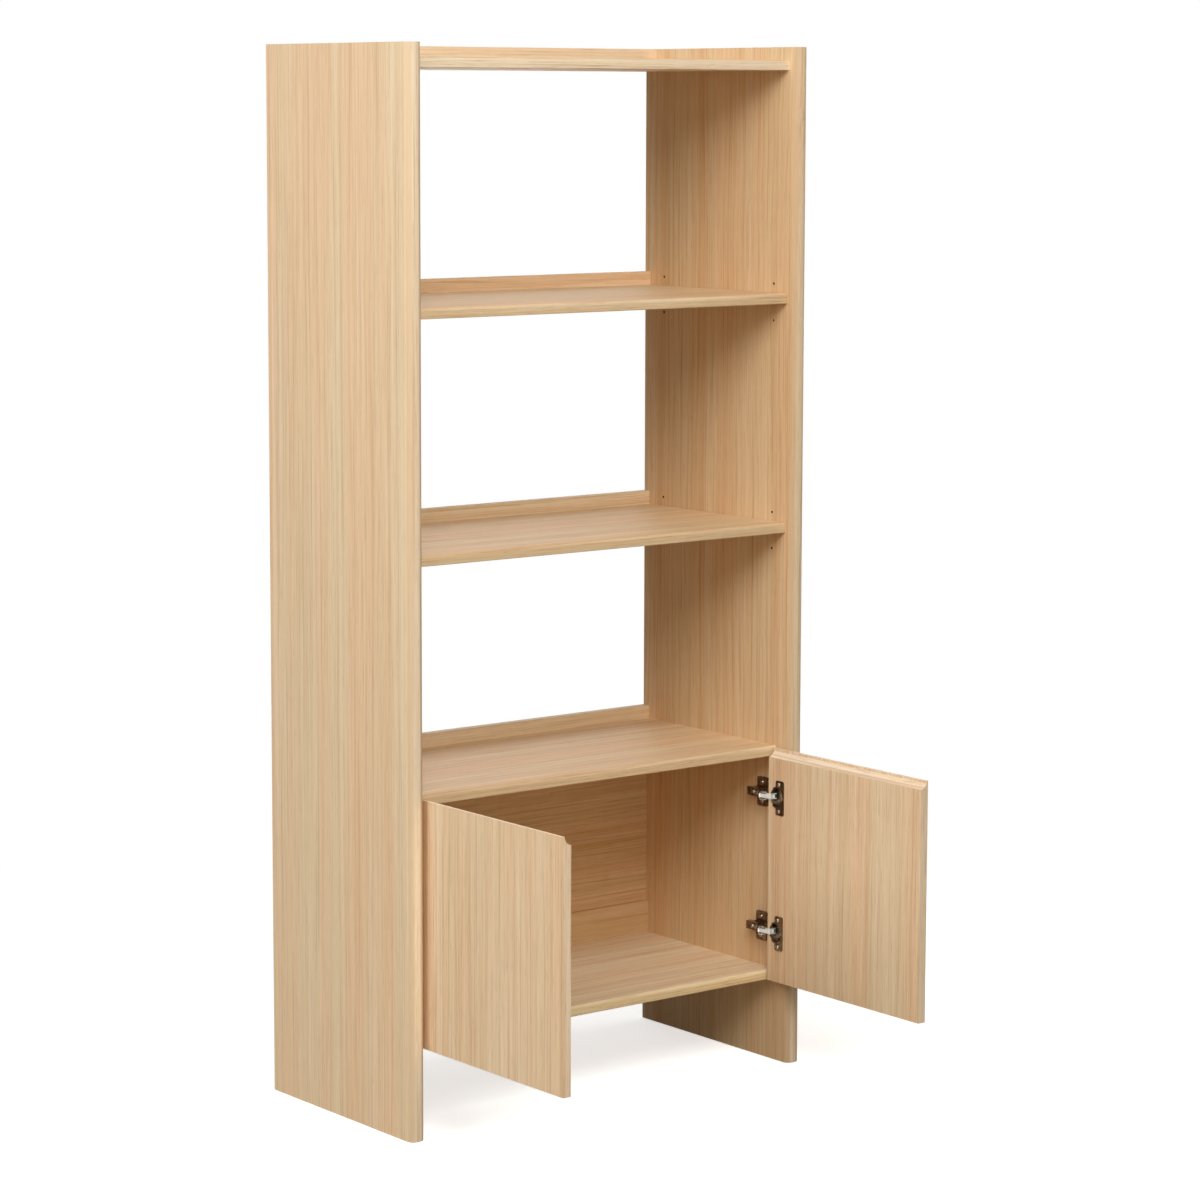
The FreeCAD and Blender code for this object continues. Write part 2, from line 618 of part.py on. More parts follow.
def door(label):
    """Left door; x runs from its hinge edge, y = 0 is its inner face, z = 0 its lower edge."""
    body = new_body(label, *OPEN_DOOR, "door_z", "-door_swing")
    profile = new_sketch(body, "DoorProfile", "XY_Plane")
    draw_box(profile, 0, "door_width", "-door_thick", 0)
    pad(body, profile, "door_height")
    cove = new_sketch(body, "FingerPull", "YZ_Plane")
    draw_circle(cove, "pull_lip + pull_radius - door_thick", "door_height - pull_below", "pull_radius")
    pocket(body, cove, backward=True)
    lip = "pull_lip + pull_radius - sqrt(pull_radius ^ 2 - pull_below ^ 2) - door_thick"
    round_edges(body, "LipEdge", "lip_round", [("door_width / 2", lip, "door_height")])
    outer = "-door_thick"
    round_edges(body, "OuterEdges", "door_ease",
                [("door_width / 2", outer, "door_height"), ("door_width / 2", outer, 0),
                 (0, outer, "door_height / 2"), ("door_width", outer, "door_height / 2")])
    centres = [f"{hinge} - door_z" for hinge in HINGES.values()]
    drill(body, "CupBores", "XZ_Plane", "cup_radius + fit_gap",
          [("cup_centre", z) for z in centres], "bore_deep", backward=True)
    drill(body, "CupScrewHoles", "XZ_Plane", "screw_radius + fit_gap",
          [("cup_screw_in", f"{z} + {side} * cup_screw_z") for z in centres for side in SIDES],
          "cup_screw_bite + end_gap", backward=True)
    return body


# ---- concealed hinges ------------------------------------------------------------------------
# A hinge's own x runs inward from the side panel and its y runs back from the closed door's face.

HINGE_X, HINGE_Y = "-inner_x", "door_face_y"


def hinge_plate(label, z):
    """Mounting plate with a raised middle, screwed to the side panel through its two wings."""
    body = new_body(label, HINGE_X, HINGE_Y, z)
    spine = new_sketch(body, "PlateSpine", "YZ_Plane")
    draw_box(spine, "plate_front", "plate_front + plate_long", "-plate_spine", "plate_spine")
    pad(body, spine, "arm_base")
    wings = new_sketch(body, "PlateWings", "YZ_Plane")
    draw_box(wings, "plate_front", "plate_front + plate_long", "-plate_wing", "plate_wing")
    pad(body, wings, "plate_wing_thick")
    round_edges(body, "WingCorners", "plate_wing_round",
                [("plate_wing_thick / 2", y, f"{side} * plate_wing")
                 for y in ("plate_front", "plate_front + plate_long") for side in SIDES])
    drill(body, "PlateHoles", "YZ_Plane", "screw_radius + fit_gap",
          [("plate_screw_back", f"{side} * plate_screw_z") for side in SIDES],
          "plate_wing_thick", backward=True)
    drill(body, "ClampHoles", "YZ_Plane", "screw_radius + fit_gap",
          [("clamp_screw_back", 0), ("adjust_screw_back", 0)],
          "clamp_screw_bite + end_gap", "arm_base")
    return body


def hinge_arm(label, z):
    """Cranked arm whose forked nose carries the pins of both links."""
    body = new_body(label, HINGE_X, HINGE_Y, z)
    top = "arm_base + arm_thick"
    nose = "(long_pivot_in + nose_wall)"
    side = new_sketch(body, "ArmOutline", "XY_Plane")
    draw_outline(side, [("arm_base", "arm_end"), ("arm_base", "arm_crank"),
                        ("short_pivot_in - nose_wall", "short_pivot_back + nose_wall"),
                        ("short_pivot_in - nose_wall", "short_pivot_back - nose_wall"),
                        ("short_pivot_in + nose_wall", "short_pivot_back - nose_wall"),
                        (nose, "long_pivot_back - nose_wall"), (nose, "long_pivot_back + nose_wall"),
                        (top, "arm_crank - arm_lean"), (top, "arm_end")])
    pad(body, side, "2 * arm_half", symmetric=True)
    round_edges(body, "ArmNoseEdges", "nose_wall - arm_ease",
                [("short_pivot_in - nose_wall", "short_pivot_back - nose_wall", 0),
                 ("short_pivot_in + nose_wall", "short_pivot_back - nose_wall", 0),
                 (nose, "long_pivot_back - nose_wall", 0), (nose, "long_pivot_back + nose_wall", 0)])
    fork = new_sketch(body, "ArmFork", "YZ_Plane")
    draw_box(fork, 0, "long_pivot_back + nose_wall", "-cheek_inside", "cheek_inside")
    pocket(body, fork, backward=True)
    bores = new_sketch(body, "ArmPinBores", "XY_Plane")
    draw_circle(bores, "short_pivot_in", "short_pivot_back", "hinge_pin + pin_fit")
    draw_circle(bores, "long_pivot_in", "long_pivot_back", "hinge_pin + pin_fit")
    pocket(body, bores, symmetric=True)
    drill(body, "ArmScrewHoles", "YZ_Plane", "screw_radius + fit_gap",
          [("clamp_screw_back", 0), ("adjust_screw_back", 0)], None, backward=True)
    return body


def short_link(label, z):
    """Pair of link plates that carry the door; x runs from the arm pin to the cup pin."""
    ends = [(0, 0), ("short_link", 0)]
    knees = [("short_rise_x", "short_rise_y"), ("short_over_x", "short_over_y")]
    pieces = []
    for level in ("plate_inside", "-plate_outside"):
        pieces += strap([ends[0], *knees, ends[1]], "link_strap", "short_plate", level)
        pieces += [rod("ShortEye", "Z", "link_eye", "short_plate", x, y, level) for x, y in ends]
    bores = [rod("ShortBore", "Z", "hinge_pin + link_fit", "2 * plate_outside", x, y, "-plate_outside")
             for x, y in ends]
    link = cut(label, fuse("ShortPlates", pieces), fuse("ShortBores", bores))
    place(link, f"{HINGE_X} + short_pivot_in", f"{HINGE_Y} + short_pivot_back", z, "short_heading")
    return link


def long_link(label, z):
    """Single link between the short plates; its cup end is left free."""
    ends = [(0, 0), ("long_link", 0)]
    pieces = strap([ends[0], ("long_over_x", "long_over_y"), ends[1]], "link_strap",
                   "2 * long_half", "-long_half")
    pieces += [rod("LongEye", "Z", "link_eye", "2 * long_half", x, y, "-long_half") for x, y in ends]
    bores = [rod("LongBore", "Z", f"hinge_pin + {fit}", "2 * long_half", x, y, "-long_half")
             for (x, y), fit in zip(ends, ("link_fit", "pin_fit"))]
    link = cut(label, fuse("LongBar", pieces), fuse("LongBores", bores))
    place(link, f"{HINGE_X} + long_pivot_in", f"{HINGE_Y} + long_pivot_back", z, "long_heading")
    return link


def hinge_cup(label, z):
    """Cup let into the door, with a flange on its inner face and two ears for the cup pins."""
    body = new_body(label, *OPEN_DOOR, z, "-door_swing")
    rim = new_sketch(body, "CupRim", "XZ_Plane")
    draw_circle(rim, "cup_centre", 0, "cup_radius + flange_lip")
    pad(body, rim, "flange_thick", backward=True)
    relief = new_sketch(body, "RimRelief", "XZ_Plane")
    draw_box(relief, 0, "cup_centre - flange_start", "-flange_half", "flange_half")
    pocket(body, relief, "flange_thick")
    wings = new_sketch(body, "CupWings", "XZ_Plane")
    near, far = "cup_screw_in - flange_near", "cup_screw_in + flange_far"
    draw_box(wings, near, far, "-flange_half", "flange_half")
    pad(body, wings, "flange_thick", backward=True)
    round_edges(body, "FlangeCorners", "flange_round",
                [(x, "flange_thick / 2", f"{side} * flange_half") for x in (near, far) for side in SIDES])
    shell = new_sketch(body, "CupShell", "XZ_Plane")
    draw_circle(shell, "cup_centre", 0, "cup_radius")
    pad(body, shell, "cup_deep")
    drill(body, "CupInside", "XZ_Plane", "cup_radius - cup_wall", [("cup_centre", 0)],
          "flange_thick + cup_deep - cup_floor", "-flange_thick", backward=True)
    ears = new_sketch(body, "CupEars", "XZ_Plane", "cup_deep - cup_floor")
    for side in SIDES:
        low, high = ("cheek_inside", "ear_outside") if side > 0 else ("-ear_outside", "-cheek_inside")
        draw_box(ears, "short_cup_in - ear_wall", "short_cup_in + ear_wall", low, high)
    pad(body, ears, "ear_tall", backward=True)
    bores = new_sketch(body, "CupPinBores", "XY_Plane")
    draw_circle(bores, "short_cup_in", "short_cup_back - door_thick", "hinge_pin + pin_fit")
    pocket(body, bores, "2 * ear_outside", symmetric=True)
    drill(body, "FlangeHoles", "XZ_Plane", "screw_radius + fit_gap",
          [("cup_screw_in", f"{side} * cup_screw_z") for side in SIDES], "flange_thick")
    return body


# ---- screws and pins of the hinges -----------------------------------------------------------


def plate_screws():
    """Two screws through each mounting plate, on both sides."""
    pieces = []
    for side in SIDES:
        shank = "-inner_x - plate_screw_bite" if side < 0 else "inner_x - plate_wing_thick"
        head = ("-inner_x + plate_wing_thick" if side < 0
                else "inner_x - plate_wing_thick - screw_head_tall")
        for hinge in HINGES.values():
            for level in SIDES:
                y, z = "door_face_y + plate_screw_back", f"{hinge} + {level} * plate_screw_z"
                pieces += [rod("PlateScrewShank", "X", "screw_radius",
                               "plate_screw_bite + plate_wing_thick", shank, y, z),
                           rod("PlateScrewHead", "X", "screw_head", "screw_head_tall", head, y, z)]
    return fuse("plate_screws", pieces)


def arm_screws():
    """Clamp screw and adjusting screw of each arm."""
    pieces = []
    shank_long = "(clamp_screw_bite + arm_thick)"
    for side in SIDES:
        shank = ("-inner_x + arm_base - clamp_screw_bite" if side < 0
                 else "inner_x - arm_base - arm_thick")
        head = ("-inner_x + arm_base + arm_thick" if side < 0
                else "inner_x - arm_base - arm_thick - screw_head_tall")
        for hinge in HINGES.values():
            for back in ("clamp_screw_back", "adjust_screw_back"):
                y = f"door_face_y + {back}"
                pieces += [rod("ArmScrewShank", "X", "screw_radius", shank_long, shank, y, hinge),
                           rod("ArmScrewHead", "X", "screw_head", "screw_head_tall", head, y, hinge)]
    return fuse("arm_screws", pieces)


def arm_pins():
    """Full pins of the long links, and stub pins of the short link plates."""
    pieces = []
    stub_long = "(arm_half - plate_inside)"
    for side in SIDES:
        short_x = f"{side} * (inner_x - short_pivot_in)"
        long_x = f"{side} * (inner_x - long_pivot_in)"
        for hinge in HINGES.values():
            y = "door_face_y + short_pivot_back"
            pieces += [rod("ArmStubPin", "Z", "hinge_pin", stub_long, short_x, y,
                           f"{hinge} + plate_inside"),
                       rod("ArmStubPin", "Z", "hinge_pin", stub_long, short_x, y,
                           f"{hinge} - arm_half"),
                       rod("ArmPin", "Z", "hinge_pin", "2 * arm_half", long_x,
                           "door_face_y + long_pivot_back", f"{hinge} - arm_half")]
    return fuse("arm_pins", pieces)


def cup_screws(label):
    """Screws of both cups in the left door."""
    pieces = []
    for hinge in HINGES.values():
        for level in SIDES:
            z = f"{hinge} + {level} * cup_screw_z"
            pieces += [rod("CupScrewShank", "Y", "screw_radius", "cup_screw_bite + flange_thick",
                           "cup_screw_in", "-cup_screw_bite", z),
                       rod("CupScrewHead", "Y", "screw_head", "screw_head_tall",
                           "cup_screw_in", "flange_thick", z)]
    screws = fuse(label, pieces)
    place(screws, *OPEN_DOOR, 0, "-door_swing")
    return screws


def cup_pins(label):
    """Stub pins in the ears of both cups in the left door."""
    pieces = []
    for hinge in HINGES.values():
        for level in ("plate_inside", "-ear_outside"):
            pieces.append(rod("CupPin", "Z", "hinge_pin", "ear_outside - plate_inside", "short_cup_in",
                              "short_cup_back - door_thick", f"{hinge} + {level}"))
    pins = fuse(label, pieces)
    place(pins, *OPEN_DOOR, 0, "-door_swing")
    return pins


def link_rivets(label):
    """Rivets in the free ends of both long links on the left."""
    rivets = fuse(label, [rod("LinkRivet", "Z", "hinge_pin", "2 * long_half", "long_link", 0,
                              f"{hinge} - long_half") for hinge in HINGES.values()])
    place(rivets, f"{HINGE_X} + long_pivot_in", f"{HINGE_Y} + long_pivot_back", 0, "long_heading")
    return rivets


# ---- assembly --------------------------------------------------------------------------------

SHELF_HALF = "inner_x - shelf_end_gap"

sub_parts = [
    side_panel("side_panel_left"),
    fixed_board("top_panel", "top_z", "shelf_setback"),
    adjustable_shelf("upper_shelf", "upper_shelf_z"),
    adjustable_shelf("lower_shelf", "lower_shelf_z"),
    cabinet_top_panel(),
    fixed_board("cabinet_bottom_panel", "cabinet_bottom_z", "cabinet_setback"),
    back_rail("top_back_rail", "top_z", "top_rail_height", "inner_x"),
    back_rail("upper_shelf_rail", "upper_shelf_z", "rail_height", SHELF_HALF),
    back_rail("lower_shelf_rail", "lower_shelf_z", "rail_height", SHELF_HALF),
    back_rail("cabinet_top_rail", "cabinet_top_z", "rail_height", "inner_x"),
    cabinet_bottom_rail(),
    cabinet_back_panel(),
    shelf_pins("upper_shelf_pins", "upper_shelf_z"),
    shelf_pins("lower_shelf_pins", "lower_shelf_z"),
    dowels(),
    cam_bolts(),
    cam_locks(),
    rail_screws(),
    floor_glides(),
    door("door_left"),
    cup_screws("cup_screws_left"),
    cup_pins("cup_pins_left"),
    link_rivets("link_rivets_left"),
    plate_screws(),
    arm_screws(),
    arm_pins(),
]
for level, hinge_z in HINGES.items():
    for make in (hinge_plate, hinge_arm, short_link, long_link, hinge_cup):
        sub_parts.append(make(f"{make.__name__}_left_{level}", hinge_z))

for piece in list(sub_parts):
    if "_left" in piece.Label:
        sub_parts.append(mirror(piece.Label.replace("_left", "_right"), piece))
doc.recompute()

for item in doc.Objects:
    if {"Invalid", "Error"} & set(item.State):
        raise RuntimeError(f"{item.Label} did not build: {item.State}")
for piece in sub_parts:
    if piece.Shape.isNull() or not piece.Shape.isValid():
        raise RuntimeError(f"{piece.Label} has no valid shape")

os.makedirs("parts", exist_ok=True)
for piece in sub_parts:
    piece.Shape.exportStep(f"parts/{piece.Label}.step")
    print(piece.Label, len(piece.Shape.Solids), "solids", round(piece.Shape.Volume / 1000, 1), "cm3")
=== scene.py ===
import math

import bmesh
import bpy
from mathutils import Matrix, Vector


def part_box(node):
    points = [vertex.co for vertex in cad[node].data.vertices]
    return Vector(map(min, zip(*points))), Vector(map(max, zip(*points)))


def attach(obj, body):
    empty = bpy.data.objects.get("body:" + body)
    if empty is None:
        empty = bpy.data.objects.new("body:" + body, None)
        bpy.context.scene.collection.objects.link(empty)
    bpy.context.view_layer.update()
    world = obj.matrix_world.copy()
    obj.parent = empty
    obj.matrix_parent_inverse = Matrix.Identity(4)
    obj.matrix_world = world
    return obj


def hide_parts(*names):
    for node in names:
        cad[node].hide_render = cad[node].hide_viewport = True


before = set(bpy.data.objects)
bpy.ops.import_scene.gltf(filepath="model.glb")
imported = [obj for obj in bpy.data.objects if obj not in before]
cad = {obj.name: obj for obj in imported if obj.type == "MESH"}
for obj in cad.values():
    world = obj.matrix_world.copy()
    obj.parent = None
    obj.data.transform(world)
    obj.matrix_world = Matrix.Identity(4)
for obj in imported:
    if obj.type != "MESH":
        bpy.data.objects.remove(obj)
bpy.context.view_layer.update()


# ---- side panels ---------------------------------------------------------------------------------
# Two 30 mm panels that run to the floor. Veneered board with straight-grained oak standing upright
# on both faces and wrapped round the front edge, sanded and sealed with a matt clear lacquer.


def colour(red, green, blue):
    """A colour measured in 0 to 255, made linear for the shaders."""
    return tuple(
        c / 12.92 if c <= 0.04045 else ((c + 0.055) / 1.055) ** 2.4
        for c in (red / 255, green / 255, blue / 255)
    ) + (1.0,)


def add(tree, kind, inputs=None, **settings):
    """One shader node; an input is given a value, or the socket that feeds it."""
    made = tree.nodes.new("ShaderNode" + kind)
    for name, setting in settings.items():
        setattr(made, name, setting)
    for key, source in (inputs or {}).items():
        if isinstance(source, bpy.types.NodeSocket):
            tree.links.new(source, made.inputs[key])
        else:
            made.inputs[key].default_value = source
    return made


def sums(tree, operation, a, b=0.0):
    """A Math node's result."""
    return add(tree, "Math", {0: a, 1: b}, operation=operation).outputs[0]


def times(tree, a, b):
    """The product of two numbers or sockets."""
    return sums(tree, "MULTIPLY", a, b)


def size_of(tree, value):
    """A number without its sign."""
    return sums(tree, "ABSOLUTE", value)


def blend_of(tree, share, a, b, kind="MIX"):
    """Two colours mixed by a share."""
    made = add(tree, "Mix", {0: share, 6: a, 7: b}, data_type="RGBA", blend_type=kind)
    return made.outputs[2]


def spread(tree, source, low, high, to_low=0.0, to_high=1.0):
    """A value stretched from one range to another, smoothly and within its ends."""
    made = add(
        tree,
        "MapRange",
        {"Value": source, "From Min": low, "From Max": high, "To Min": to_low, "To Max": to_high},
        interpolation_type="SMOOTHSTEP",
    )
    return made.outputs["Result"]


def noise(tree, place, scale, detail, rough=0.5):
    """Cloudy noise between 0 and 1, with about scale features to the metre."""
    inputs = {"Vector": place, "Scale": scale, "Detail": detail, "Roughness": rough}
    return add(tree, "TexNoise", inputs).outputs["Fac"]


def new_group(name, ins, outs):
    """A shader node group with the named sockets, its input and its output."""
    tree = bpy.data.node_groups.new(name, "ShaderNodeTree")
    for label, kind in ins:
        tree.interface.new_socket(label, in_out="INPUT", socket_type="NodeSocket" + kind)
    for label, kind in outs:
        tree.interface.new_socket(label, in_out="OUTPUT", socket_type="NodeSocket" + kind)
    return tree, tree.nodes.new("NodeGroupInput").outputs, tree.nodes.new("NodeGroupOutput").inputs


OAK_HONEY = colour(230, 192, 151)
OAK_STRAW = colour(228, 199, 159)
OAK_PALE = colour(240, 216, 184)
OAK_TAN = colour(208, 164, 117)
OAK_RING = colour(174, 125, 80)
OAK_PORE = colour(132, 90, 54)

DRIFT_RUN = 1.9
DRIFT_WIDTH = 6.0
OAK_ROUGH = 0.52
FIBRE_ROUGH = 0.12
FIBRE_RISE = 0.5
PORE_DROP = 0.6

oak_figure, oak_in, oak_out = new_group(
    "oak_figure",
    [(label, "Float") for label in ("Along", "Across", "Through", "Wander", "Strength")],
    [("Color", "Color"), ("Roughness", "Float"), ("Height", "Float")],
)


def streaks(line, run, width, depth, detail, rough=0.55):
    """Noise drawn out along the grain. Run, width and depth say how many features a metre holds
    along the grain, across it and through the leaf."""
    axes = {
        0: times(oak_figure, oak_in["Along"], run),
        1: times(oak_figure, line, width),
        2: times(oak_figure, oak_in["Through"], depth),
    }
    place = add(oak_figure, "CombineXYZ", axes).outputs[0]
    return noise(oak_figure, place, 1.0, detail, rough)


def lay_over(tone, mask, share, shade):
    """Lay a shade over the oak through a mask; the strength of the figure scales it."""
    amount = times(oak_figure, mask, times(oak_figure, oak_in["Strength"], share))
    return blend_of(oak_figure, amount, tone, shade)


drift = streaks(oak_in["Across"], DRIFT_RUN, DRIFT_WIDTH, DRIFT_WIDTH, 2.0)
sway = times(oak_figure, sums(oak_figure, "SUBTRACT", drift, 0.5), oak_in["Wander"])
line = sums(oak_figure, "ADD", oak_in["Across"], sway)
broad = streaks(line, 0.4, 17.0, 13.0, 1.0)
leaves = streaks(line, 0.9, 64.0, 40.0, 2.0)
bands = streaks(line, 1.3, 118.0, 90.0, 2.0)
rings = streaks(line, 2.2, 290.0, 190.0, 3.0, 0.62)
fibre = streaks(line, 8.0, 900.0, 700.0, 2.0)
pores = streaks(line, 26.0, 1900.0, 1500.0, 1.0)
tone = blend_of(oak_figure, spread(oak_figure, broad, 0.36, 0.64), OAK_HONEY, OAK_STRAW)
# Each layer of lines: where its noise begins to show and shows in full, its share and its shade.
for layer, low, high, share, shade in (
    (leaves, 0.52, 0.7, 0.32, OAK_TAN),
    (leaves, 0.46, 0.32, 0.4, OAK_PALE),
    (bands, 0.54, 0.68, 0.3, OAK_TAN),
    (rings, 0.52, 0.7, 0.46, OAK_RING),
    (rings, 0.44, 0.28, 0.35, OAK_PALE),
    (fibre, 0.52, 0.74, 0.42, OAK_RING),
):
    tone = lay_over(tone, spread(oak_figure, layer, low, high), share, shade)
open_pores = spread(oak_figure, pores, 0.61, 0.73)
tone = lay_over(tone, open_pores, 0.4, OAK_PORE)
oak_figure.links.new(tone, oak_out["Color"])
fuzz = spread(oak_figure, fibre, 0.3, 0.7, 0.0, FIBRE_ROUGH)
oak_figure.links.new(sums(oak_figure, "ADD", fuzz, OAK_ROUGH), oak_out["Roughness"])
raised = times(oak_figure, fibre, FIBRE_RISE)
sunk = times(oak_figure, open_pores, PORE_DROP)
oak_figure.links.new(sums(oak_figure, "SUBTRACT", raised, sunk), oak_out["Height"])


def new_finish(name):
    """A material with its Principled shader and the coordinates on the piece."""
    material = bpy.data.materials.new(name)
    material.use_nodes = True
    tree = material.node_tree
    shader = tree.nodes["Principled BSDF"]
    return material, tree, shader, tree.nodes.new("ShaderNodeTexCoord").outputs


def bump(tree, shader, height, strength, distance):
    """Raise and sink the surface by a height, at most by the distance in metres."""
    made = add(tree, "Bump", {"Height": height, "Strength": strength, "Distance": distance})
    tree.links.new(made.outputs[0], shader.inputs["Normal"])


def within(tree, place, low, high):
    """A mask of the places between two corners."""
    inside = 1.0
    for axis, value in enumerate(add(tree, "SeparateXYZ", {0: place}).outputs):
        inside = times(tree, inside, sums(tree, "GREATER_THAN", value, low[axis]))
        inside = times(tree, inside, sums(tree, "LESS_THAN", value, high[axis]))
    return inside


# OAK_LIFT, BOARD_EDGE and a board's own edge tint multiply the oak; the other shades are mixed in.
# The lift serves both for painted light and for the paler edging of banded pieces.
OAK_LIFT = (1.16, 1.38, 1.78, 1.0)
# Painted shade for pieces that stand in shade, inside the cabinet and on the right.
OAK_PAINTED_SHADE = colour(192, 141, 76)
# Painted shade on rounded edges.
PAINTED_EDGE_SHADE = colour(190, 158, 124)
BOARD_EDGE = (0.93, 0.99, 1.03, 1.0)
# Raw board core, darker than raw board so as to add painted shade in the pin holes.
BOARD_CORE_AND_HOLE_SHADE = colour(58, 40, 26)

# Which of the piece's axes lie along, across and through the grain, and the way from leaf to leaf.
GRAIN_ORDER = {"X": (0, 1, 2), "Z": (2, 1, 0), "rail": (0, 2, 1)}
LEAF_STEP = (0.37, 0.61, 0.83)

# How squarely a face looks forwards, up or down, or slantwise before it counts as an edge.
FRONT_FACE = (0.5, 0.95)
LEVEL_FACE = 0.3
ROUNDED_EDGE = (0.1, 0.5)
# The most painted shade a rounded edge takes, where the left and the front lamps both light it.
EDGE_SHADE_SHARE = 0.62
BANDING_LIFT = 0.45
OAK_BUMP = (0.35, 0.0003)
OAK_SPECULAR = 0.25


def oak(
    name,
    grain,
    leaf,
    wander=0.006,
    strength=1.0,
    painted_light=0.0,
    painted_shade=0.0,
    banded=False,
    core=None,
    edge=BOARD_EDGE,
):
    """Oak veneer from its own leaf of the log, its grain along X or Z, or along X on an upright
    rail. The grain wanders by so many metres and its lines have a strength. A share of painted
    light lifts a piece that stands in more light, and a share of painted shade deepens one in
    shade. A board with grain along X has a tint on its front edge, which is painted light on the
    top and the cabinet bottom. A banded piece has paler edging, laid along Y on its level edges,
    and painted shade on its rounded edge. Raw board shows between the two corners of its core, made
    near black as painted shade in the holes."""
    material, tree, shader, where = new_finish(name)
    shift = tuple(leaf * step for step in LEAF_STEP)
    on_log = add(tree, "Mapping", {"Vector": where["Object"], "Location": shift}).outputs[0]
    axes = add(tree, "SeparateXYZ", {0: on_log}).outputs
    order = {slot: axes[axis] for slot, axis in enumerate(GRAIN_ORDER[grain])}
    lay = add(tree, "CombineXYZ", order).outputs[0]
    faces = add(tree, "SeparateXYZ", {0: where["Normal"]}).outputs
    front = spread(tree, size_of(tree, faces[1]), *FRONT_FACE)
    if banded:
        level = sums(tree, "GREATER_THAN", size_of(tree, faces[2]), LEVEL_FACE)
        across = add(tree, "CombineXYZ", {0: axes[1], 1: axes[0], 2: axes[2]}).outputs[0]
        lay = add(tree, "Mix", {0: level, 4: lay, 5: across}, data_type="VECTOR").outputs[1]
    veneer = add(tree, "Group", node_tree=oak_figure)
    lengths = add(tree, "SeparateXYZ", {0: lay}).outputs
    for label, length in zip(("Along", "Across", "Through"), lengths):
        tree.links.new(length, veneer.inputs[label])
    veneer.inputs["Wander"].default_value = wander
    veneer.inputs["Strength"].default_value = strength
    # Painted light lifts the whole piece by its share; painted shade deepens it by its share.
    shade = blend_of(tree, painted_light, veneer.outputs["Color"], OAK_LIFT, "MULTIPLY")
    shade = blend_of(tree, painted_shade, shade, OAK_PAINTED_SHADE)
    if grain == "X":
        shade = blend_of(tree, front, shade, edge, "MULTIPLY")
    if banded:
        edging = times(tree, sums(tree, "MAXIMUM", level, front), BANDING_LIFT)
        shade = blend_of(tree, edging, shade, OAK_LIFT, "MULTIPLY")
        # Painted shade darkens the rounded edges that slant between side and front.
        slant = size_of(tree, times(tree, faces[0], faces[1]))
        rounded = spread(tree, slant, *ROUNDED_EDGE, 0.0, EDGE_SHADE_SHARE)
        shade = blend_of(tree, rounded, shade, PAINTED_EDGE_SHADE)
    if core:
        # The raw core, made darker as painted shade in the holes.
        shade = blend_of(tree, within(tree, where["Object"], *core), shade, BOARD_CORE_AND_HOLE_SHADE)
    tree.links.new(shade, shader.inputs["Base Color"])
    tree.links.new(veneer.outputs["Roughness"], shader.inputs["Roughness"])
    bump(tree, shader, veneer.outputs["Height"], *OAK_BUMP)
    shader.inputs["Specular IOR Level"].default_value = OAK_SPECULAR
    return material


def finish(node, material):
    """Give a piece of the frame its finish."""
    slots = cad[node].data.materials
    slots.clear()
    slots.append(material)


# The raw core of a side panel lies this far under its faces, and behind its solid front edge.
VENEER_THICK = 0.0006
FRONT_LIPPING = 0.013

# The right panel is deepened with painted shade, as its inner face stands in shade.
for leaf, side, wander, strength, painted_light, painted_shade in (
    (1, "left", 0.006, 0.78, 0.12, 0.0),
    (2, "right", 0.024, 1.0, 0.03, 0.17),
):
    node = f"side_panel_{side}"
    low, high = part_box(node)
    core = [
        (low[0] + VENEER_THICK, low[1] + FRONT_LIPPING, low[2] + VENEER_THICK),
        [corner - VENEER_THICK for corner in high],
    ]
    finish(node, oak(f"oak_side_{side}", "Z", leaf, wander, strength, painted_light, painted_shade, True, core))


# ---- top, cabinet top and cabinet bottom ---------------------------------------------------------
# Three fixed 18 mm boards between the side panels, oak veneer running across the width, with a
# front edge rounded at the top. Dowels and cam bolts pull them against the side panels.

# Painted light on front edges: the top's is lifted, the cabinet bottom's warmed for its low light.
TOP_EDGE_PAINTED_LIGHT = (1.05, 1.17, 1.33, 1.0)
BOTTOM_EDGE_PAINTED_LIGHT = (1.0, 0.98, 0.84, 1.0)

finish("top_panel", oak("oak_top", "X", 3, painted_light=0.15, edge=TOP_EDGE_PAINTED_LIGHT))
finish("cabinet_top_panel", oak("oak_cabinet_top", "X", 4))
finish("cabinet_bottom_panel", oak("oak_cabinet_bottom", "X", 5, painted_light=0.36, edge=BOTTOM_EDGE_PAINTED_LIGHT))


# ---- adjustable shelves --------------------------------------------------------------------------
# Two loose boards of the same make, a little narrower than the space between the side panels. Each
# lies on four steel pins and lifts out to be moved.

finish("upper_shelf", oak("oak_upper_shelf", "X", 6))
finish("lower_shelf", oak("oak_lower_shelf", "X", 7))


# ---- back rails ----------------------------------------------------------------------------------
# Low upright strips on the back edge of every board, screwed on from below, that keep things from
# being pushed off the back. The strip in the cabinet stands highest.

# The top rail is lifted with painted light; the strip inside the cabinet is deepened with painted
# shade.
for leaf, node, painted_light, painted_shade in (
    (8, "top_back_rail", 0.45, 0.0),
    (9, "upper_shelf_rail", 0.22, 0.0),
    (10, "lower_shelf_rail", 0.22, 0.0),
    (11, "cabinet_top_rail", 0.2, 0.0),
    (12, "cabinet_bottom_rail", 0.0, 0.36),
):
    finish(node, oak("oak_" + node, "rail", leaf, painted_light=painted_light, painted_shade=painted_shade))


# ---- cabinet back panel --------------------------------------------------------------------------
# Thin veneered board let into grooves round the back of the cabinet. Its grain runs across, with
# bolder lines than the rest.

# Its deeper tone is painted shade, as it stands inside the cabinet.
finish("cabinet_back_panel", oak("oak_cabinet_back", "rail", 14, 0.012, 1.2, painted_shade=0.12))


